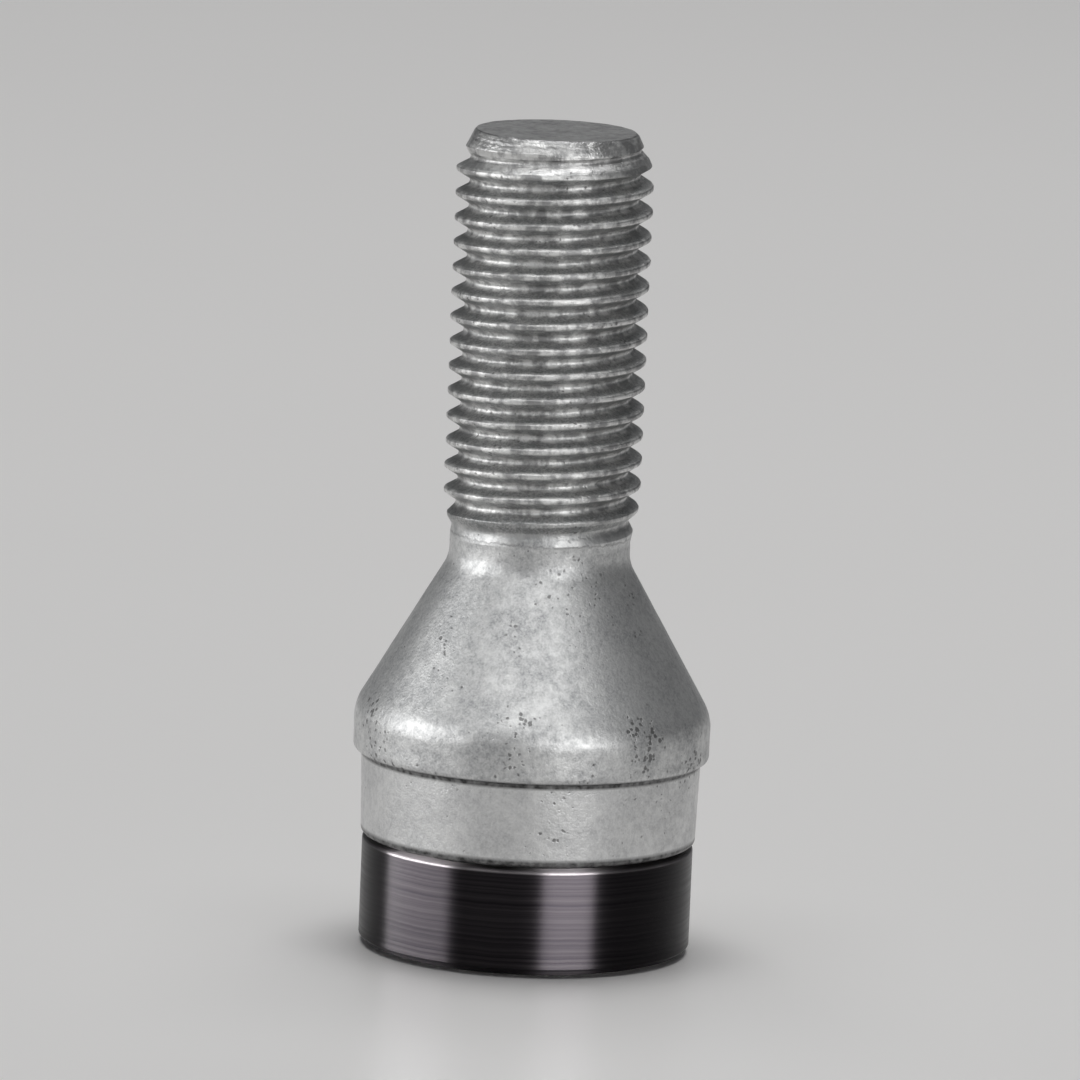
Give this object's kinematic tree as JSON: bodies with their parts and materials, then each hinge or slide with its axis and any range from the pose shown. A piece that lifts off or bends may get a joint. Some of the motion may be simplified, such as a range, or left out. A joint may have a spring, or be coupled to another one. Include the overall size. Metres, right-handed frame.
{
  "type": "locking wheel bolt",
  "caption": "Cone-seat wheel bolt with a long threaded shank, a wavy key groove in its end face and a free-spinning black collar round its head.",
  "frame": {"origin": "centre of the collar's end face, on the bolt's axis, where the bolt stands on its head", "axes": "+Z along the bolt's axis from the head to the thread's tip; X and Y lie in the collar's end face, and +X is at no special place of the key groove"},
  "size_m": [0.0216, 0.0216, 0.0498],
  "materials": {
    "zinc_flake_steel": "matte silver-grey zinc-flake coat on forged steel, darker on the rolled thread, with small pits and scuffs",
    "black_chrome": "glossy black chrome over fine turning lines",
    "spring_steel": "plain oiled spring steel"
  },
  "bodies": {
    "bolt": {"bolt": "zinc_flake_steel", "retaining_ring": "spring_steel"},
    "collar": {"spin_collar": "black_chrome"}
  },
  "joints": [
    {"name": "collar_spin", "type": "hinge", "parent": "bolt", "child": "collar", "pos_m": [0, 0, 0.00325], "axis": [0, 0, 1], "continuous": true}
  ]
}
